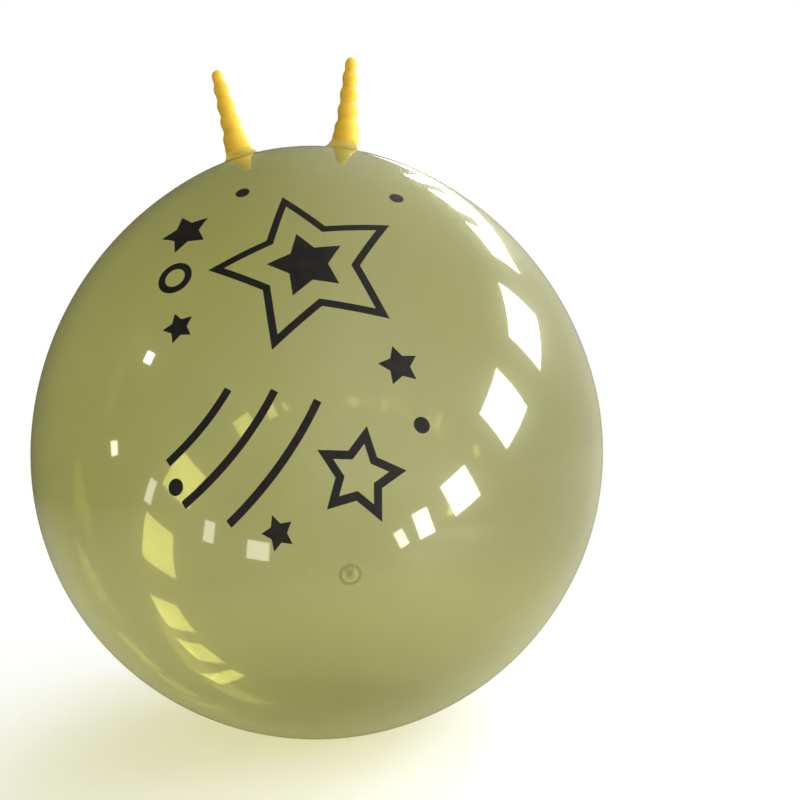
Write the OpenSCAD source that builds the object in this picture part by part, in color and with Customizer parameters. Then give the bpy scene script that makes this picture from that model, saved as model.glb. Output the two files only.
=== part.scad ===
// Hopper ball: a blown-up clear skin with a raised crown, two ringed horns to hold, and a plugged valve.
// The ball stands on the flat that its weight presses, with its printed front towards -Y.

/* [Ball] */
// Diameter of the blown-up ball across its middle
ball_d = 650; // [600:5:720]
// Thickness of the blown-up skin
skin_wall = 0.8; // [0.6:0.1:1.6]
// Rise of the crown above the round ball, between the horns
crown_rise = 25; // [15:1:35]
// Angle from the top at which the ball starts to rise into the crown
crown_angle = 80; // [72:1:86]
// Half the angle that the crown's round cap takes up
cap_angle = 25; // [20:1:30]
// Depth to which the resting ball is pressed flat
rest_flat = 1.5; // [1:0.1:3]

/* [Necks] */
// Distance between the horns where they leave the crown
horn_spacing = 118; // [100:1:140]
// Rise of each neck above the crown
neck_rise = 16; // [12:1:20]
// Diameter of each neck's rim
neck_d = 30; // [29:0.5:36]
// Depth by which the neck's flare runs into the skin
neck_sink = 0.5; // [0.4:0.1:0.6]

/* [Horns] */
// Length of each horn from the neck's rim to the tip
horn_len = 89; // [70:1:110]
// Outward lean of each horn
horn_lean = 9.8; // [5:0.1:14]
// Diameter of the horn's round root
horn_root_d = 27; // [24:0.5:28]
// Diameter of the horn at its lowest ring
horn_low_d = 28.3; // [26:0.1:29]
// Diameter of the horn at its highest ring
horn_high_d = 17.3; // [15:0.1:20]
// Diameter of the horn's round tip
horn_tip_d = 13.7; // [11:0.1:15]
// Number of rings below the tip
ring_count = 4; // [3:1:6]
// Depth of the grooves between the rings
ring_depth = 1.3; // [0.8:0.1:2]
// Length from the tip to the middle of the highest ring
ring_start = 25.5; // [22:0.5:30]
// Length from the neck's rim to the middle of the lowest ring
ring_end = 8; // [7:0.5:10]
// Height of the root's middle above the neck's rim
root_lift = 6; // [5.5:0.1:7]
// Clearance between the horn's root and its cup
root_gap = 0.3; // [0.2:0.05:0.5]

/* [Print] */
// Angle of the print's middle above the ball's middle
print_lift = 27; // [20:1:32]
// Width of the print
print_w = 250; // [200:1:270]
// Height of the print
print_h = 370; // [300:1:390]
// Width of the printed lines
print_line = 7; // [5:0.5:9]
// Radius of the large star
star_r = 92; // [70:1:100]
// Number of tips on every star
star_tips = 5; // [5:1:8]
// Radius of the small printed ring
print_ring_r = 17; // [12:1:24]
// Radius of the printed dots
dot_r = 7; // [5:0.5:10]
// Thickness of the ink
ink_wall = 0.25; // [0.2:0.05:0.4]

/* [Valve] */
// Angle of the valve below the ball's middle, at the back
valve_drop = 42; // [30:1:50]
// Diameter of the grommet's collar
collar_d = 24; // [22:0.5:30]
// Height of the collar above the skin
collar_rise = 2; // [1.8:0.1:3]
// Diameter of the flange that is fused inside the skin
flange_d = 34; // [32:0.5:44]
// Thickness of the flange
flange_wall = 1.6; // [1:0.1:3]
// Outer diameter of the grommet's sleeve
sleeve_d = 15; // [13:0.5:18]
// Length of the sleeve below the skin
sleeve_len = 17; // [12:0.5:24]
// Diameter of the grommet's bore
bore_d = 9; // [7:0.1:10]
// Diameter of the plug's head
head_d = 15; // [12.5:0.1:17]
// Thickness of the plug's head
head_wall = 2; // [1.6:0.1:3]
// Bevel round the top of the plug's head
head_bevel = 0.7; // [0.3:0.1:1]
// Depth of the head's seat in the collar
seat_depth = 1.3; // [0.8:0.1:1.4]
// Clearance around the plug's head
head_gap = 0.3; // [0.2:0.05:0.5]
// Radial clearance between the plug's stem and the bore
stem_gap = 0.05; // [0.02:0.01:0.08]
// Length of the plug's stem
stem_len = 23; // [18:0.5:28]
// Number of barbs on the stem
barb_count = 3; // [2:1:5]
// Height of each barb
barb_depth = 0.6; // [0.3:0.1:0.9]
// Diameter of the hollow in the stem
stem_core_d = 3.6; // [2.5:0.1:4]

/* [Hidden] */
$fn = 200;

// Overrun of every cut past the face that it opens
cut_over = 1;

// Depth of the shoulder under the ball and the cap, so that the three rounds cross and do not just touch
shoulder_dip = 0.05;

// The ball and the three round stretches of its outline
ball_r = ball_d / 2;
ball_z = ball_r - rest_flat;
shoulder_shift = crown_rise / (1 - cos(crown_angle) - sin(crown_angle) * tan(cap_angle / 2));
shoulder_r = ball_r + shoulder_shift;
shoulder_mid = -shoulder_shift * heading(crown_angle);
cap_shift = shoulder_shift * sin(crown_angle) / sin(cap_angle);
cap_r = shoulder_r - cap_shift;
cap_mid = [0, shoulder_mid.y + cap_shift * cos(cap_angle)];
far_out = 2 * ball_d;

// The necks stand square on the crown's round cap
neck_r = neck_d / 2;
neck_tilt = asin(horn_spacing / 2 / cap_r);
neck_touch_r = (neck_r ^ 2 + 2 * cap_r * neck_rise + neck_rise ^ 2) / 2 / (cap_r - neck_r);
neck_fillet_r = neck_touch_r + neck_sink;
neck_foot_r = neck_r + neck_fillet_r;
neck_foot_z = neck_rise - neck_fillet_r;

// The horns turn about the middle of their round roots
root_r = horn_root_d / 2;
root_z = neck_rise + root_lift;
horn_reach = horn_len - root_lift;
tip_r = horn_tip_d / 2;
ring_low_z = ring_end - root_lift;
ring_high_z = horn_reach - ring_start;
ring_pitch = (ring_high_z - ring_low_z) / (ring_count - 1);
ring_curve_r = ((ring_pitch / 2) ^ 2 + ring_depth ^ 2) / 2 / ring_depth;

// The print's places are shares of half its width and half its height
star_waist_share = 0.52;
star_core_share = 0.4;
star_turn = 180 / star_tips;
star_tilt = 14;
star_place_shares = [0.2, 0.36];
hollow_star_shares = [0.46, -0.7, 0.44];
small_star_shares = [[-0.74, 0.7, 0.28], [0.8, -0.2, 0.2], [-0.76, 0.1, 0.17], [-0.14, -0.92, 0.16]];
dot_shares = [[-0.3, 0.93], [0.9, 0.86], [0.92, -0.48], [-0.84, -0.66]];
ring_place_shares = [-0.8, 0.4];
tail_mid_shares = [-1.55, 0.3];
tail_radius_shares = [1.42, 1.72, 2.02];
tail_angles = [[-36, -62], [-31, -64], [-29, -58]];

// The valve's heights are measured outwards from the ball's middle
skin_inner_r = ball_r - skin_wall;
collar_top = ball_r + collar_rise;
seat_z = collar_top - seat_depth;
sleeve_end = skin_inner_r - sleeve_len;
bore_r = bore_d / 2;
stem_r = bore_r - stem_gap;
stem_end = seat_z - stem_len;
barb_pitch = stem_len / (barb_count + 1);

// A unit step at an angle from straight up, towards +X
function heading(angle) = [sin(angle), cos(angle)];

// The corners of a star with its first tip up
function star_points(r) =
    [for (i = [0:2 * star_tips - 1]) (i % 2 == 0 ? r : r * star_waist_share) * heading(i * star_turn)];

// The distance from a star's middle to the line along its edges, for an outer radius of r
function star_inset(r) =
    let (a = r * heading(0), b = r * star_waist_share * heading(star_turn), e = b - a)
    abs(cross(a, e)) / norm(e);

// Half the ball's outline about its middle, moved outwards by grow. The shoulder joins the ball and the cap.
module ball_half(grow) {
    intersection() {
        translate([0, -far_out]) square([far_out, 2 * far_out]);
        union() {
            circle(ball_r + grow);
            translate(cap_mid) circle(cap_r + grow);
            intersection() {
                translate(shoulder_mid) circle(shoulder_r + grow - shoulder_dip);
                polygon([
                    [0, 0],
                    cap_mid,
                    shoulder_mid + far_out * heading(cap_angle),
                    shoulder_mid + far_out * heading(crown_angle)
                ]);
            }
        }
    }
}

// The whole ball, moved outwards by grow, with its pressed flat
module ball_solid(grow) {
    translate([0, 0, ball_z])
        rotate_extrude()
            intersection() {
                ball_half(grow);
                translate([0, -ball_z - grow]) square(far_out);
            }
}

// Carries its children to the foot of a neck, with +Z along the neck. The side is -1 at -X and 1 at +X.
module at_neck(side) {
    translate([0, 0, ball_z + cap_mid.y])
        rotate([0, side * neck_tilt, 0])
            translate([0, 0, cap_r])
                children();
}

// The flared neck, down to the edge of its flare in the skin
module neck() {
    rotate_extrude()
        difference() {
            translate([0, neck_foot_z]) square([neck_foot_r, neck_fillet_r]);
            translate([neck_foot_r, neck_rise]) circle(neck_fillet_r);
        }
}

// Turns its children about the ball's middle, with +Z outwards along the valve
module at_valve() {
    translate([0, 0, ball_z]) rotate([-90 - valve_drop, 0, 0]) children();
}

module ball_skin() {
    color([0.78, 0.8, 0.45, 0.5])
        difference() {
            union() {
                ball_solid(0);
                for (side = [-1, 1]) at_neck(side) neck();
            }
            ball_solid(-skin_wall);
            for (side = [-1, 1]) at_neck(side) translate([0, 0, root_z]) sphere(root_r + root_gap);
            at_valve() cylinder(r = collar_d / 2, h = ball_d);
        }
}

// A star in one line, or a filled one
module star(r, filled) {
    difference() {
        polygon(star_points(r));
        if (!filled) polygon(star_points(r * (1 - print_line / star_inset(r))));
    }
}

// A curved line about its own middle, between two angles from +X
module line_arc(r, angles) {
    intersection() {
        difference() {
            circle(r + print_line / 2);
            circle(r - print_line / 2);
        }
        polygon(concat([[0, 0]], [for (a = angles) far_out * [cos(a), sin(a)]]));
    }
}

// Moves its children to shares of the print's half width and half height
module at_print(shares) {
    translate([shares.x * print_w / 2, shares.y * print_h / 2]) children();
}

// The flat drawing: shooting stars, dots and a ring
module drawing() {
    at_print(star_place_shares) rotate(star_tilt) star(star_r, false);
    at_print(star_place_shares) rotate(star_tilt) star(star_r * star_core_share, true);
    at_print(hollow_star_shares) rotate(-star_tilt) star(star_r * hollow_star_shares.z, false);
    for (row = small_star_shares) at_print(row) rotate(star_tilt) star(star_r * row.z, true);
    for (row = dot_shares) at_print(row) circle(dot_r);
    at_print(ring_place_shares)
        difference() {
            circle(print_ring_r);
            circle(print_ring_r - print_line);
        }
    for (i = [0:len(tail_radius_shares) - 1])
        at_print(tail_mid_shares) line_arc(tail_radius_shares[i] * print_w / 2, tail_angles[i]);
}

module front_print() {
    color([0.08, 0.07, 0.06])
        difference() {
            intersection() {
                ball_solid(ink_wall);
                translate([0, 0, ball_z])
                    rotate([90 - print_lift, 0, 0])
                        linear_extrude(ball_d)
                            drawing();
            }
            ball_solid(0);
        }
}

// Radius of the horn across a ring, at a height above the middle of the root
function ring_r(z) =
    let (share = (z - ring_low_z) / (ring_high_z - ring_low_z))
    (horn_low_d + (horn_high_d - horn_low_d) * share) / 2;

// Half the horn's outline about the middle of its root, which turns in its cup. The rings start above it.
module horn_half() {
    intersection() {
        translate([0, -root_r]) square([horn_low_d, root_r + horn_reach]);
        union() {
            circle(root_r);
            polygon([
                [0, 0],
                [root_r, 0],
                [ring_r(ring_low_z), ring_low_z],
                [ring_r(ring_high_z) - ring_depth, ring_high_z],
                [tip_r, horn_reach - tip_r],
                [0, horn_reach - tip_r]
            ]);
            intersection() {
                translate([0, ring_low_z]) square(horn_len);
                for (i = [0:ring_count - 1]) {
                    z = ring_low_z + i * ring_pitch;
                    translate([ring_r(z) - ring_curve_r, z]) circle(ring_curve_r);
                }
            }
            translate([0, horn_reach - tip_r]) circle(tip_r);
        }
    }
}

module horn(side) {
    color([0.87, 0.66, 0.16])
        at_neck(side)
            translate([0, 0, root_z])
                rotate([0, side * (horn_lean - neck_tilt), 0])
                    rotate_extrude()
                        horn_half();
}

module left_horn() {
    horn(-1);
}

module right_horn() {
    horn(1);
}

module valve_seat() {
    color([0.8, 0.8, 0.55])
        at_valve()
            difference() {
                union() {
                    translate([0, 0, sleeve_end]) cylinder(r = sleeve_d / 2, h = sleeve_len);
                    translate([0, 0, skin_inner_r - flange_wall])
                        cylinder(r = collar_d / 2, h = collar_top - skin_inner_r + flange_wall);
                    intersection() {
                        translate([0, 0, skin_inner_r - flange_wall])
                            cylinder(r = flange_d / 2, h = flange_wall + cut_over);
                        sphere(skin_inner_r);
                    }
                }
                translate([0, 0, sleeve_end - cut_over]) cylinder(r = bore_r, h = ball_d);
                translate([0, 0, seat_z]) cylinder(r = head_d / 2 + head_gap, h = ball_d);
            }
}

// Half the outline of the plug: its hollow stem with barbs, and its bevelled head
module plug_half() {
    difference() {
        union() {
            translate([0, stem_end]) square([stem_r - barb_depth, stem_len]);
            for (i = [0:barb_count - 1]) {
                z = stem_end + i * barb_pitch;
                polygon([[0, z], [stem_r - barb_depth, z], [stem_r, z + barb_pitch], [0, z + barb_pitch]]);
            }
            polygon([
                [0, seat_z],
                [head_d / 2, seat_z],
                [head_d / 2, seat_z + head_wall - head_bevel],
                [head_d / 2 - head_bevel, seat_z + head_wall],
                [0, seat_z + head_wall]
            ]);
        }
        translate([0, stem_end - cut_over]) square([stem_core_d / 2, stem_len + cut_over - head_wall]);
    }
}

module valve_plug() {
    color([0.93, 0.93, 0.9]) at_valve() rotate_extrude() plug_half();
}

ball_skin();
front_print();
left_horn();
right_horn();
valve_seat();
valve_plug();
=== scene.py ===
"""Looks of the hopper ball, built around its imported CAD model. Metres, +Z up, front towards -Y."""
import math

import bpy
import numpy as np
from mathutils import Matrix, Vector
from mathutils.geometry import delaunay_2d_cdt


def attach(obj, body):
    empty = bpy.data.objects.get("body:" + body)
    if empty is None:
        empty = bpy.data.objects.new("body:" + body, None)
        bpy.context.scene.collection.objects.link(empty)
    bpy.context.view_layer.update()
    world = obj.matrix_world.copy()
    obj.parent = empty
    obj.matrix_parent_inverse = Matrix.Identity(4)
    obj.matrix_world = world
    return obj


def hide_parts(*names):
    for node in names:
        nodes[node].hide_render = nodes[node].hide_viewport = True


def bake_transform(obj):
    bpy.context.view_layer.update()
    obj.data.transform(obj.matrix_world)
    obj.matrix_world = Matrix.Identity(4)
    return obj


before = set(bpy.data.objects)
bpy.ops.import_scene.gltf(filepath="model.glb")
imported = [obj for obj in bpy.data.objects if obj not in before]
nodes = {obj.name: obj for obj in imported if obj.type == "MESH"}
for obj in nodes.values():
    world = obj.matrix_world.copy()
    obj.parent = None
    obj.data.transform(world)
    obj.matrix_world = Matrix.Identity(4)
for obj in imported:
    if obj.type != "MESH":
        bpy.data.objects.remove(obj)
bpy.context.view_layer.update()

# Sizes of the CAD model that the pieces here repeat
BALL_R = 0.325
BALL_MID = np.array([0.0, 0.0, 0.3235])
CROWN_RISE = 0.025
CROWN_ANGLE = math.radians(80)
CAP_ANGLE = math.radians(25)
NECK_OFFSET = 0.059
NECK_RISE = 0.016
NECK_R = 0.015
ROOT_LIFT = 0.006
HORN_LEN = 0.089
HORN_LEAN = math.radians(9.8)
VALVE_ANGLE = math.radians(132)
COLLAR_R = 0.012

# The three round stretches of the ball's outline, about its middle
SHOULDER_SHIFT = CROWN_RISE / (1 - math.cos(CROWN_ANGLE) - math.sin(CROWN_ANGLE) * math.tan(CAP_ANGLE / 2))
SHOULDER_R = BALL_R + SHOULDER_SHIFT
SHOULDER_MID = (-SHOULDER_SHIFT * math.sin(CROWN_ANGLE), -SHOULDER_SHIFT * math.cos(CROWN_ANGLE))
CAP_SHIFT = SHOULDER_SHIFT * math.sin(CROWN_ANGLE) / math.sin(CAP_ANGLE)
CAP_R = SHOULDER_R - CAP_SHIFT
CAP_Z = SHOULDER_MID[1] + CAP_SHIFT * math.cos(CAP_ANGLE)
FOOT_ANGLE = math.acos(-BALL_MID[2] / BALL_R)

# The flare of a neck is round and leaves the cap without a kink
NECK_TILT = math.asin(NECK_OFFSET / CAP_R)
FLARE_R = (NECK_R**2 + 2 * CAP_R * NECK_RISE + NECK_RISE**2) / 2 / (CAP_R - NECK_R)
FLARE_MID = (NECK_R + FLARE_R, NECK_RISE)
FLARE_ANGLE = math.atan2(FLARE_MID[0], CAP_R + NECK_RISE)

# How finely the film is divided
AROUND = 240
ROWS = 97
NECK_AROUND = 72
FLARE_ROWS = 16
VALVE_AROUND = 48
CROWN_EDGE = math.radians(32)
CROWN_STEPS = np.radians(np.arange(0, 31.2, 1.25))
CROWN_TWIST = 0.37
NECK_ROOM = math.radians(0.6)
VALVE_GAP = math.radians(5)
VALVE_COLUMNS = 4
VALVE_RINGS = (COLLAR_R, 0.0145, 0.0175)
FOOT_RINGS = (0.66, 0.33)

# The amber of the horns starts this far up a neck and deepens over this height, along a curve
AMBER_FROM = 0.0005
AMBER_OVER = 0.0095
AMBER_CURVE = 1.2

# The horns: how finely they are divided and how deep their foot goes
HORN_AROUND = 80
HORN_STEPS = 3
HORN_SINK = 0.004
HORN_OUTLINE = [
    # Distance from the tip and radius, in mm, in step-like rings that widen downwards
    (0.0, 0.0), (0.25, 1.75), (1.0, 3.4), (2.2, 4.85), (3.9, 5.95), (6.0, 6.65), (8.4, 6.9), (11.0, 6.8),
    (13.2, 6.6), (15.2, 6.75), (17.0, 7.4), (18.8, 8.2), (20.8, 8.75), (23.2, 8.85), (26.0, 8.55),
    (29.0, 8.1), (31.6, 7.9), (33.6, 8.1), (35.6, 8.85), (37.6, 9.7), (39.8, 10.25), (42.4, 10.3),
    (45.2, 9.95), (48.0, 9.5), (50.4, 9.3), (52.4, 9.5), (54.4, 10.25), (56.4, 11.15), (58.6, 11.75),
    (61.2, 11.8), (64.0, 11.5), (66.8, 11.0), (69.4, 10.85), (71.4, 11.15), (73.2, 12.0), (75.2, 13.05),
    (77.4, 13.75), (79.8, 14.05), (82.4, 14.1), (85.0, 14.25), (87.4, 14.7), (89.2, 15.12), (91.0, 15.26),
    (92.6, 15.46), (94.0, 15.76),
]

# Colours of the film, clear and where it turns amber
FILM_TINTS = ((0.45, 0.445, 0.22, 1), (0.60, 0.595, 0.32, 1))
AMBER_TINT = (0.86, 0.60, 0.12, 1)
EDGE_TINT = (0.30, 0.29, 0.10, 1)
FILM_BODY = (0.72, 0.70, 0.30, 1)
AMBER_BODY = (0.82, 0.58, 0.06, 1)
FILM_SHINE = (0.96, 0.96, 0.80, 1)
FILM_SHADOW = (0.88, 0.87, 0.68, 1)
AMBER_SHADOW = (0.5, 0.3, 0.05, 1)

# Colours of the other pieces
HORN_TONES = [(0.25, (0.70, 0.455, 0.03)), (0.75, (0.78, 0.535, 0.055))]
INK_TONES = [(0.3, (0.008, 0.007, 0.006)), (0.7, (0.016, 0.014, 0.012))]
SEAT_TINT, SEAT_BODY, SEAT_CLOUD = (0.84, 0.83, 0.62), (0.74, 0.72, 0.38), 0.12
PLUG_TINT, PLUG_BODY, PLUG_CLOUD = (0.94, 0.94, 0.86), (0.86, 0.86, 0.78), 0.25
WHITE = (1, 1, 1, 1)

# The stage
HALL_COLOUR = (0.99, 1.0, 0.96, 1)
FLOOR_TONE = (0.72, 0.72, 0.70, 1)
FLOOR_SEEN = (0.95, 0.95, 0.94, 1)
FLOOR_R = 30
FLOOR_SIDES = 96
FLOOR_DROP = 0.0003
# Watts of a square metre of a pane whose glow is 1
PANE_POWER = 4
PANES = [
    # Place, width, height, spin in degrees and glow: on the right, from the back round to the front
    ((1.06, 3.24, 2.35), 0.22, 0.96, 18, 14),
    ((1.65, 2.89, 2.51), 0.50, 0.57, 10, 15),
    ((2.40, 2.40, 2.38), 0.69, 0.66, 22, 16),
    ((3.46, 1.06, 1.84), 1.23, 0.94, 28, 16),
    ((3.80, -0.88, 0.90), 1.20, 1.06, 34, 16),
    ((0.668, -0.644, 0.158), 0.163, 0.176, 30, 12),
    ((0.407, -0.646, 0.094), 0.066, 0.111, 20, 11),
    ((0.273, -0.602, 0.095), 0.033, 0.062, 26, 8),
    # A wide, dim one behind the ball
    ((1.50, 3.20, 2.15), 2.60, 0.45, -12, 3),
    # On the left
    ((-3.14, -1.21, 2.47), 0.26, 0.22, 0, 16),
    ((-3.82, -1.04, 0.85), 0.23, 0.28, 15, 8),
    ((-1.65, -1.116, 0.214), 0.10, 0.264, -30, 4),
    ((-0.485, -0.784, 0.101), 0.053, 0.105, -20, 4),
    ((-0.18, -0.64, 0.11), 0.074, 0.065, -15, 4),
]

# The camera: the ball's radius and middle are in pixels of a square frame
FRAME_PIXELS = 800
LENS = 45.0
SENSOR = 36.0
BALL_PIXELS = 284.2
BALL_AT = (323.0, 449.5)
AZIMUTH = math.radians(5.0)
ELEVATION = math.radians(7.5)
ROLL = math.radians(5.9)


# Points and meshes

def full_turn(count):
    """Evenly spaced angles of a whole turn."""
    return np.linspace(0, 2 * math.pi, count, endpoint=False)


def ball_points(angles, turns):
    """Points and normals of the ball at angles from straight up and turns about +Z."""
    angles, turns = np.broadcast_arrays(np.asarray(angles, float), np.asarray(turns, float))
    cap, side = angles < CAP_ANGLE, angles < CROWN_ANGLE
    radius = np.where(cap, CAP_R, np.where(side, SHOULDER_R, BALL_R))
    mid_r = np.where(cap, 0.0, np.where(side, SHOULDER_MID[0], 0.0))
    mid_z = np.where(cap, CAP_Z, np.where(side, SHOULDER_MID[1], 0.0))
    out = mid_r + radius * np.sin(angles)
    points = np.stack([out * np.cos(turns), out * np.sin(turns), mid_z + radius * np.cos(angles)], -1)
    normals = np.stack([np.sin(angles) * np.cos(turns), np.sin(angles) * np.sin(turns), np.cos(angles)], -1)
    return points + BALL_MID, normals


def neck_axes(side):
    """The foot of a neck on the cap, its axis and the two directions across it. The side is -1 or 1."""
    axis = np.array([side * math.sin(NECK_TILT), 0.0, math.cos(NECK_TILT)])
    across = np.array([math.cos(NECK_TILT), 0.0, -side * math.sin(NECK_TILT)])
    foot = BALL_MID + np.array([0.0, 0.0, CAP_Z]) + CAP_R * axis
    return foot, axis, across, np.cross(axis, across)


def inside(place, rim):
    """True if a flat place lies within a closed rim."""
    x, y = place
    after = np.roll(rim, -1, 0)
    across = (rim[:, 1] > y) != (after[:, 1] > y)
    slope = (after[:, 0] - rim[:, 0]) / np.where(after[:, 1] == rim[:, 1], 1, after[:, 1] - rim[:, 1])
    return np.count_nonzero(across & (x < rim[:, 0] + (y - rim[:, 1]) * slope)) % 2 == 1


class Sheet:
    """Points with their normals, and the faces between them."""

    def __init__(self):
        self.points, self.normals, self.faces = [], [], []

    def add(self, points, normals):
        """Add points and give their numbers."""
        first = len(self.points)
        self.points += list(np.reshape(points, (-1, 3)))
        self.normals += list(np.reshape(normals, (-1, 3)))
        return list(range(first, len(self.points)))

    def strip(self, low, high):
        """Faces between two closed loops with the same count of points."""
        for i in range(len(low)):
            j = (i + 1) % len(low)
            self.faces.append((low[i], low[j], high[j], high[i]))

    def fill(self, loops, inner, flat):
        """Triangles between the first loop and the others, which are holes, over the inner points."""
        used = [i for loop in loops for i in loop] + list(inner)
        places = [Vector(flat[i]) for i in used]
        edges, first = [], 0
        for loop in loops:
            edges += [(first + k, first + (k + 1) % len(loop)) for k in range(len(loop))]
            first += len(loop)
        found = delaunay_2d_cdt(places, edges, [], 0, 1e-9)
        rims = [np.array([flat[i] for i in loop]) for loop in loops]
        for face in found[2]:
            corners = [used[found[3][k][0]] for k in face]
            middle = np.mean([flat[i] for i in corners], 0)
            if inside(middle, rims[0]) and not any(inside(middle, rim) for rim in rims[1:]):
                self.faces.append(tuple(corners))

    def facing(self):
        """The faces, each turned so that it looks along its corners' normals."""
        points, normals = np.array(self.points), np.array(self.normals)
        turned = []
        for face in self.faces:
            a, b, c = points[face[0]], points[face[1]], points[face[-1]]
            looks = np.cross(b - a, c - a) @ normals[list(face)].sum(0)
            turned.append(face if looks > 0 else face[::-1])
        return turned


def new_mesh(name, points, faces, normals=None):
    """A smooth mesh object in the scene, with its own normals if they are given."""
    mesh = bpy.data.meshes.new(name)
    mesh.from_pydata([tuple(p) for p in points], [], faces)
    mesh.update()
    mesh.shade_smooth()
    if normals is not None:
        mesh.normals_split_custom_set_from_vertices([tuple(n) for n in normals])
    made = bpy.data.objects.new(name, mesh)
    bpy.context.scene.collection.objects.link(made)
    return made


# Nodes of the materials

def node_adder(tree):
    """Empty a node tree and give a function that adds a node to it, with its inputs as values or links."""
    tree.nodes.clear()

    def add(kind, inputs=None, **settings):
        node = tree.nodes.new(kind)
        for key, value in settings.items():
            setattr(node, key, value)
        for key, value in (inputs or {}).items():
            if isinstance(value, bpy.types.NodeSocket):
                tree.links.new(value, node.inputs[key])
            else:
                node.inputs[key].default_value = value
        return node

    return add


def new_material(name):
    """An empty node material and the function that adds its nodes."""
    material = bpy.data.materials.new(name)
    material.use_nodes = True
    return material, node_adder(material.node_tree)


def math_node(add, operation, first, second=0.0, third=0.0, clamp=False):
    inputs = {0: first, 1: second, 2: third}
    return add("ShaderNodeMath", inputs, operation=operation, use_clamp=clamp).outputs[0]


def scaled(add, source, scale, start, clamp=False):
    """The start, plus the source times the scale."""
    return math_node(add, "MULTIPLY_ADD", source, scale, start, clamp)


def mix_colour(add, factor, first, second):
    return add("ShaderNodeMix", {0: factor, 6: first, 7: second}, data_type="RGBA").outputs[2]


def mix_shader(add, factor, first, second):
    return add("ShaderNodeMixShader", {0: factor, 1: first.outputs[0], 2: second.outputs[0]})


def ramp(add, source, stops):
    """A colour ramp over a source socket, with two (place, colour) stops."""
    node = add("ShaderNodeValToRGB", {"Fac": source})
    for element, (place, colour) in zip(node.color_ramp.elements, stops):
        element.position = place
        element.color = (*colour, 1)
    return node.outputs["Color"]


def noise(add, scale, detail, roughness=0.5):
    """Soft noise over a piece's own coordinates."""
    place = add("ShaderNodeTexCoord").outputs["Object"]
    inputs = {"Vector": place, "Scale": scale, "Detail": detail, "Roughness": roughness}
    return add("ShaderNodeTexNoise", inputs).outputs["Fac"]


def bumps(add, height, strength, distance=0.0003):
    """Normals of a slightly uneven surface."""
    inputs = {"Strength": strength, "Distance": distance, "Height": height}
    return add("ShaderNodeBump", inputs).outputs["Normal"]


def low_angle(add, power):
    """Near 0 where a surface is seen straight on, and 1 at its edge."""
    facing = add("ShaderNodeLayerWeight", {"Blend": 0.5}).outputs["Facing"]
    return math_node(add, "POWER", facing, power)


def milk(add, colour, back):
    """A cloudy body: it sends a share of the light back, and the rest goes through."""
    through = add("ShaderNodeBsdfTranslucent", {"Color": colour})
    matt = add("ShaderNodeBsdfDiffuse", {"Color": colour})
    return mix_shader(add, back, through, matt)


def skin_material():
    """Clear yellow film: what lies behind shows through its tint, and it shines more at a low angle."""
    material, add = new_material("clear_pvc_film")
    amber = add("ShaderNodeAttribute", attribute_name="amber").outputs["Fac"]

    # The film itself, deeper in colour at its edge and nearly opaque where it turns amber
    clear = mix_colour(add, noise(add, 4.0, 3.0), *FILM_TINTS)
    tint = mix_colour(add, amber, clear, AMBER_TINT)
    see = add("ShaderNodeBsdfTransparent", {"Color": mix_colour(add, low_angle(add, 14.0), tint, EDGE_TINT)})
    body = milk(add, mix_colour(add, amber, FILM_BODY, AMBER_BODY), 0.6)
    film = mix_shader(add, scaled(add, amber, 0.92, 0.05), see, body)

    # Its shine, with a faint bloom around bright things
    normal = bumps(add, noise(add, 7.0, 2.0, 0.4), 0.12, 0.004)
    sharp = add("ShaderNodeBsdfGlossy", {"Color": FILM_SHINE, "Roughness": 0.05, "Normal": normal})
    bloom = add("ShaderNodeBsdfGlossy", {"Color": FILM_SHINE, "Roughness": 0.3, "Normal": normal})
    mirror = scaled(add, low_angle(add, 4.0), 0.62, 0.09)
    # A thin rim mirrors less, so that the outline shows where something bright is mirrored at the edge
    mirror = math_node(add, "MULTIPLY", mirror, scaled(add, low_angle(add, 10.0), -0.9, 1.0))
    bounce = math_node(add, "MULTIPLY", mirror, scaled(add, amber, -0.85, 1.0))
    whole = mix_shader(add, bounce, film, mix_shader(add, 0.2, sharp, bloom))

    # Its shadow, which is paler than the film
    shadow = add("ShaderNodeBsdfTransparent", {"Color": mix_colour(add, amber, FILM_SHADOW, AMBER_SHADOW)})
    lit = mix_shader(add, add("ShaderNodeLightPath").outputs["Is Shadow Ray"], whole, shadow)
    add("ShaderNodeOutputMaterial", {"Surface": lit.outputs[0]})
    return material


def cloudy_material(name, tint, body, share):
    """Thick see-through plastic: a share of it is cloudy, and the rest lets light through its tint."""
    material, add = new_material(name)
    cloud = noise(add, 120.0, 4.0, 0.6)
    see = add("ShaderNodeBsdfTransparent", {"Color": (*tint, 1)})
    colour = mix_colour(add, cloud, (*body, 1), (*(0.9 * c for c in body), 1))
    inner = mix_shader(add, scaled(add, cloud, 0.1, share - 0.05), see, milk(add, colour, 0.5))
    rough = scaled(add, cloud, 0.15, 0.2)
    normal = bumps(add, cloud, 0.08)
    shine = add("ShaderNodeBsdfGlossy", {"Color": WHITE, "Roughness": rough, "Normal": normal})
    whole = mix_shader(add, scaled(add, low_angle(add, 5.0), 0.5, 0.04), inner, shine)
    add("ShaderNodeOutputMaterial", {"Surface": whole.outputs[0]})
    return material


def solid_material(name, inputs):
    """An opaque material. The function given makes the inputs of its shader."""
    material, add = new_material(name)
    shader = add("ShaderNodeBsdfPrincipled", inputs(add))
    add("ShaderNodeOutputMaterial", {"Surface": shader.outputs[0]})
    return material


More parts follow.
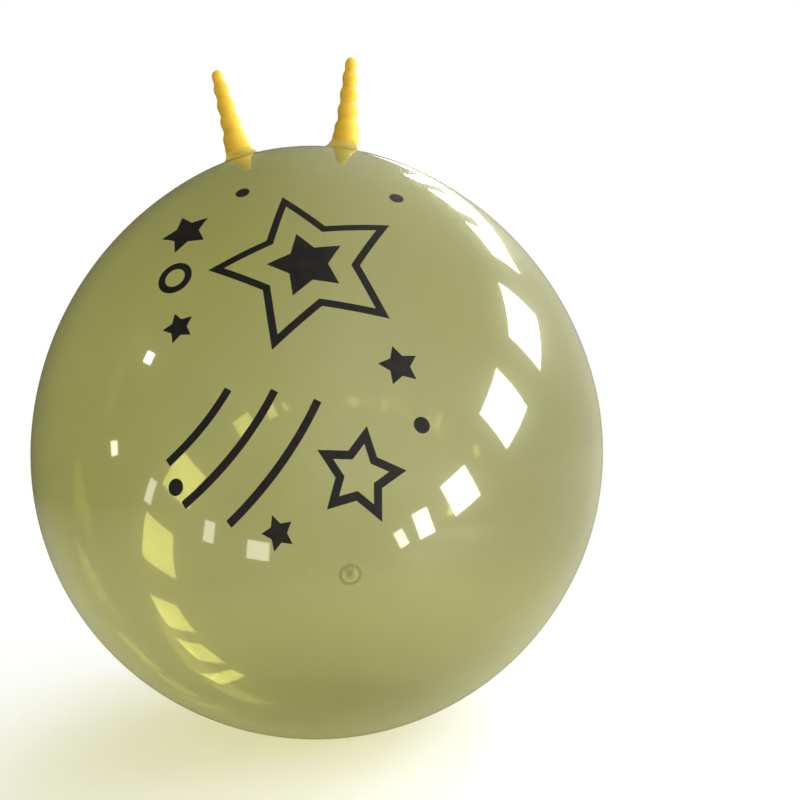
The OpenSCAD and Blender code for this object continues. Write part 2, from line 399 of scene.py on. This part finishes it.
def horn_inputs(add):
    """Amber soft PVC with a satin skin and a slight mottle. Light spreads a little way inside it."""
    mottle = noise(add, 55.0, 4.0, 0.6)
    return {
        "Base Color": ramp(add, mottle, HORN_TONES),
        "Roughness": scaled(add, mottle, 0.16, 0.38),
        "Specular IOR Level": 0.3,
        "Subsurface Weight": 0.8,
        "Subsurface Scale": 0.014,
        "Subsurface Radius": (1.0, 0.75, 0.3),
        "Normal": bumps(add, noise(add, 900.0, 2.0), 0.1),
    }


def ink_inputs(add):
    """Black printed ink, a little uneven, with a dull shine."""
    mottle = noise(add, 90.0, 4.0, 0.6)
    return {
        "Base Color": ramp(add, mottle, INK_TONES),
        "Roughness": scaled(add, mottle, 0.2, 0.35),
        "Specular IOR Level": 0.15,
        "Normal": bumps(add, mottle, 0.08),
    }


# The skin

def ball_band(sheet):
    """The ball below its crown, with a gap for the valve. Gives its rings and the gap's border."""
    angles = np.linspace(CROWN_EDGE, FOOT_ANGLE, ROWS)
    rings = [sheet.add(*ball_points(angle, full_turn(AROUND))) for angle in angles]
    gap = np.flatnonzero(abs(angles - VALVE_ANGLE) < VALVE_GAP)
    top, bottom = gap[0], gap[-1]
    # The valve is at the back, a quarter of the way around from +X
    left, right = AROUND // 4 - VALVE_COLUMNS, AROUND // 4 + VALVE_COLUMNS
    for i in range(ROWS - 1):
        for j in range(AROUND):
            k = (j + 1) % AROUND
            if not (top <= i < bottom and left <= j < right):
                sheet.faces.append((rings[i][j], rings[i][k], rings[i + 1][k], rings[i + 1][j]))
    border = [rings[top][j] for j in range(left, right)]
    border += [rings[i][right] for i in range(top, bottom)]
    border += [rings[bottom][j] for j in range(right, left, -1)]
    border += [rings[i][left] for i in range(bottom, top, -1)]
    return rings, border


def neck_flare(sheet, side):
    """The round flare of a neck. Gives the loop where it leaves the cap."""
    foot, axis, across, third = neck_axes(side)
    spin = full_turn(NECK_AROUND)[:, None]
    radial = np.cos(spin) * across + np.sin(spin) * third
    loops = []
    for bend in np.linspace(FLARE_ANGLE, math.pi / 2, FLARE_ROWS):
        out = FLARE_MID[0] - FLARE_R * math.sin(bend)
        up = FLARE_MID[1] - FLARE_R * math.cos(bend)
        normals = math.sin(bend) * radial + math.cos(bend) * axis
        loops.append(sheet.add(foot + out * radial + up * axis, normals))
    for low, high in zip(loops, loops[1:]):
        sheet.strip(low, high)
    return loops[0]


def crown_map(normal):
    """Where a point of the crown lies on a flat map, by the direction that it faces."""
    angle, turn = math.acos(normal[2]), math.atan2(normal[1], normal[0])
    return angle * math.cos(turn), angle * math.sin(turn)


def crown(sheet, rim):
    """The top of the ball, with its two necks, inside the rim of the band below."""
    loops = [rim] + [neck_flare(sheet, side) for side in (-1, 1)]
    axes = [neck_axes(side)[1] for side in (-1, 1)]
    inner = []
    for angle in CROWN_STEPS:
        count = max(1, round(AROUND * math.sin(angle) / math.sin(CROWN_EDGE)))
        for turn in full_turn(count) + CROWN_TWIST * angle:
            point, normal = ball_points(angle, turn)
            if all(normal @ axis < math.cos(FLARE_ANGLE + NECK_ROOM) for axis in axes):
                inner += sheet.add(point, normal)
    flat = {i: crown_map(sheet.normals[i]) for loop in loops + [inner] for i in loop}
    sheet.fill(loops, inner, flat)


def valve_patch(sheet, border):
    """The film from the valve's collar out to the border of the gap."""
    out = np.array([0.0, math.sin(VALVE_ANGLE), math.cos(VALVE_ANGLE)])
    wide = np.array([1.0, 0.0, 0.0])
    high = np.cross(out, wide)
    spin = full_turn(VALVE_AROUND)[:, None]
    loops = []
    for radius in VALVE_RINGS:
        tilt = math.asin(radius / BALL_R)
        normals = math.sin(tilt) * (np.cos(spin) * wide + np.sin(spin) * high) + math.cos(tilt) * out
        loops.append(sheet.add(BALL_MID + BALL_R * normals, normals))
    for low, top in zip(loops, loops[1:]):
        sheet.strip(low, top)
    flat = {i: (float(sheet.points[i] @ wide), float(sheet.points[i] @ high)) for i in border + loops[-1]}
    sheet.fill([border, loops[-1]], [], flat)


def foot_flat(sheet, rim):
    """The flat that the ball stands on."""
    last, down = rim, np.array([0.0, 0.0, -1.0])
    for share in FOOT_RINGS:
        points = np.array([sheet.points[i] for i in rim]) * [share, share, 1]
        ring = sheet.add(points, np.tile(down, (AROUND, 1)))
        sheet.strip(last, ring)
        last = ring
    middle = sheet.add([0.0, 0.0, 0.0], down)[0]
    sheet.faces += [(last[j], last[(j + 1) % AROUND], middle) for j in range(AROUND)]


def amber_share(points):
    """How amber the film is at its points, from 0 to 1."""
    share = np.zeros(len(points))
    for side in (-1, 1):
        foot, axis, _, _ = neck_axes(side)
        up = (points - foot) @ axis
        share = np.maximum(share, np.clip((up - AMBER_FROM) / AMBER_OVER, 0, 1) ** AMBER_CURVE)
    return share


def make_skin():
    """The blown-up film with its crown and flared necks, open at the necks' rims and around the valve."""
    sheet = Sheet()
    rings, border = ball_band(sheet)
    crown(sheet, rings[0])
    valve_patch(sheet, border)
    foot_flat(sheet, rings[-1])
    made = new_mesh("clear_skin", sheet.points, sheet.facing(), sheet.normals)
    amber = amber_share(np.array(sheet.points)).astype(np.float32)
    made.data.attributes.new("amber", "FLOAT", "POINT").data.foreach_set("value", amber)
    made.data.materials.append(skin_material())
    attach(made, "ball")
    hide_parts("ball_skin")


# The horns

def smooth_outline(places, steps):
    """A smooth curve through the places, with some steps between each two of them."""
    places = np.array(places, float)
    padded = np.vstack([2 * places[0] - places[1], places, 2 * places[-1] - places[-2]])
    made = []
    for a, b, c, d in zip(padded, padded[1:], padded[2:], padded[3:]):
        for t in np.arange(steps) / steps:
            squared, cubed = 2 * a - 5 * b + 4 * c - d, 3 * b - a - 3 * c + d
            made.append(0.5 * (2 * b + (c - a) * t + squared * t**2 + cubed * t**3))
    return np.vstack([made, places[-1]])


def make_horn(name, side, material):
    """One ringed horn with the foot that hugs its neck. It bends from the neck's rim upwards."""
    foot, neck_axis, _, _ = neck_axes(side)
    rim = foot + NECK_RISE * neck_axis
    pivot = rim + ROOT_LIFT * neck_axis
    horn_axis = np.array([side * math.sin(HORN_LEAN), 0.0, math.cos(HORN_LEAN)])
    outline = smooth_outline(HORN_OUTLINE, HORN_STEPS) / 1000
    spin = full_turn(HORN_AROUND)
    points, faces = [pivot + (HORN_LEN - ROOT_LIFT) * horn_axis], []
    for distance, radius in outline[1:]:
        up = HORN_LEN - distance
        if up > ROOT_LIFT:
            middle, axis = pivot + (up - ROOT_LIFT) * horn_axis, horn_axis
        else:
            middle, axis = rim + up * neck_axis, neck_axis
        wide = np.cross([0.0, 1.0, 0.0], axis)
        wide /= np.linalg.norm(wide)
        deep = np.cross(axis, wide)
        around = np.cos(spin)[:, None] * wide + np.sin(spin)[:, None] * deep
        # A soft moulding is never quite round
        wave = 1 + 0.006 * np.sin(2 * spin + 40 * distance) + 0.004 * np.sin(3 * spin - 75 * distance + side)
        points += list(middle + (radius * wave)[:, None] * around)
    after = [(j + 1) % HORN_AROUND for j in range(HORN_AROUND)]
    faces += [(0, 1 + j, 1 + k) for j, k in enumerate(after)]
    last = 1 + (len(outline) - 2) * HORN_AROUND
    for first in range(1, last, HORN_AROUND):
        below = first + HORN_AROUND
        faces += [(first + j, below + j, below + k, first + k) for j, k in enumerate(after)]
    points.append(rim - HORN_SINK * neck_axis)
    faces += [(last + j, len(points) - 1, last + k) for j, k in enumerate(after)]
    made = new_mesh(name, points, faces)
    made.data.materials.append(material)
    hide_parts("left_horn" if side < 0 else "right_horn")
    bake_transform(made)


# The stage: a white floor that fades into the white background, and soft light from the right

def seen_ray(add):
    """1 for what the camera sees, also through see-through things, and 0 for other light."""
    path = add("ShaderNodeLightPath").outputs
    return math_node(add, "MAXIMUM", path["Is Camera Ray"], path["Is Transmission Ray"])


def hall_level(add, towards):
    """How bright the surroundings are in a direction: dim on the left, bright on the right and in front."""
    axes = add("ShaderNodeSeparateXYZ", {0: towards}).outputs
    right = {"Value": axes["X"], "From Min": -0.4, "From Max": 0.45, "To Min": 0.14, "To Max": 1.05}
    front = {"Value": axes["Y"], "From Min": -0.1, "From Max": -0.9, "To Min": 0.0, "To Max": 0.40}
    levels = [add("ShaderNodeMapRange", inputs, interpolation_type="SMOOTHSTEP") for inputs in (right, front)]
    return math_node(add, "ADD", levels[0].outputs[0], levels[1].outputs[0])


def make_floor():
    """A pale floor under the ball. Further away it glows white, and mirrors show the surroundings there."""
    material, add = new_material("stage_floor")
    place = add("ShaderNodeTexCoord").outputs["Object"]
    away = add("ShaderNodeVectorMath", {0: place}, operation="LENGTH").outputs["Value"]
    seen = seen_ray(add)
    paint = add("ShaderNodeBsdfDiffuse", {"Color": mix_colour(add, seen, FLOOR_TONE, FLOOR_SEEN)})
    glow = add("ShaderNodeEmission", {"Color": WHITE, "Strength": 1.0})
    fade = math_node(add, "MULTIPLY", scaled(add, away, 2.4, -0.85, clamp=True), seen)
    shown = mix_shader(add, fade, paint, glow)
    towards = add("ShaderNodeVectorMath", {0: place}, operation="NORMALIZE").outputs["Vector"]
    hall = add("ShaderNodeEmission", {"Color": HALL_COLOUR, "Strength": hall_level(add, towards)})
    mirrored = add("ShaderNodeLightPath").outputs["Is Glossy Ray"]
    far = math_node(add, "MULTIPLY", scaled(add, away, 0.5, -0.25, clamp=True), mirrored)
    add("ShaderNodeOutputMaterial", {"Surface": mix_shader(add, far, shown, hall).outputs[0]})
    rim = [(FLOOR_R * math.cos(t), FLOOR_R * math.sin(t), -FLOOR_DROP) for t in full_turn(FLOOR_SIDES)]
    floor = new_mesh("floor", rim, [tuple(range(FLOOR_SIDES))])
    floor.data.materials.append(material)


def make_world():
    """White behind the ball, and soft surroundings for its light and its reflections."""
    world = bpy.data.worlds.new("studio")
    bpy.context.scene.world = world
    world.use_nodes = True
    add = node_adder(world.node_tree)
    white = add("ShaderNodeBackground", {"Color": WHITE, "Strength": 1.0})
    towards = add("ShaderNodeTexCoord").outputs["Generated"]
    soft = add("ShaderNodeBackground", {"Color": HALL_COLOUR, "Strength": hall_level(add, towards)})
    add("ShaderNodeOutputWorld", {"Surface": mix_shader(add, seen_ray(add), soft, white).outputs[0]})


def make_pane(name, at, wide, high, spin, glow):
    """A bright pane that faces the ball, turned by its spin. Its glow is how bright it looks."""
    light = bpy.data.lights.new(name, "AREA")
    light.shape = "RECTANGLE"
    light.size = wide
    light.size_y = high
    light.energy = PANE_POWER * wide * high * glow
    lamp = bpy.data.objects.new(name, light)
    bpy.context.scene.collection.objects.link(lamp)
    aim = (Vector(BALL_MID) - Vector(at)).to_track_quat("-Z", "Y").to_matrix().to_4x4()
    lamp.matrix_world = Matrix.Translation(at) @ aim @ Matrix.Rotation(math.radians(spin), 4, "Z")
    lamp.visible_camera = False


def make_camera():
    """The camera, placed so that the ball fills its part of the frame."""
    focal = LENS / SENSOR * FRAME_PIXELS
    distance = BALL_R * math.hypot(focal / BALL_PIXELS, 1)
    level = Vector((math.cos(AZIMUTH), math.sin(AZIMUTH), 0.0))
    ahead = Vector((math.sin(AZIMUTH), -math.cos(AZIMUTH), 0.0))
    back = math.cos(ELEVATION) * ahead + Vector((0.0, 0.0, math.sin(ELEVATION)))
    above = back.cross(level)
    right = math.cos(ROLL) * level - math.sin(ROLL) * above
    up = math.sin(ROLL) * level + math.cos(ROLL) * above
    turn = Matrix((right, up, back)).transposed()
    towards = Vector((BALL_AT[0] - FRAME_PIXELS / 2, FRAME_PIXELS / 2 - BALL_AT[1], -focal))
    turn = turn @ towards.rotation_difference(Vector((0.0, 0.0, -1.0))).to_matrix()
    lens = bpy.data.cameras.new("camera")
    lens.lens = LENS
    lens.sensor_width = SENSOR
    camera = bpy.data.objects.new("camera", lens)
    bpy.context.scene.collection.objects.link(camera)
    camera.matrix_world = Matrix.Translation(Vector(BALL_MID) + back * distance) @ turn.to_4x4()
    bpy.context.scene.camera = camera


make_skin()
amber_pvc = solid_material("amber_pvc", horn_inputs)
make_horn("ringed_horn_left", -1, amber_pvc)
make_horn("ringed_horn_right", 1, amber_pvc)

# The print and the valve keep their CAD shapes
for node, material in (
    ("front_print", solid_material("printed_ink", ink_inputs)),
    ("valve_seat", cloudy_material("valve_pvc", SEAT_TINT, SEAT_BODY, SEAT_CLOUD)),
    ("valve_plug", cloudy_material("plug_plastic", PLUG_TINT, PLUG_BODY, PLUG_CLOUD)),
):
    nodes[node].data.materials.clear()
    nodes[node].data.materials.append(material)

make_floor()
make_world()
for number, pane in enumerate(PANES):
    make_pane(f"window_{number}", *pane)
make_camera()
bpy.context.scene.view_settings.view_transform = "Standard"
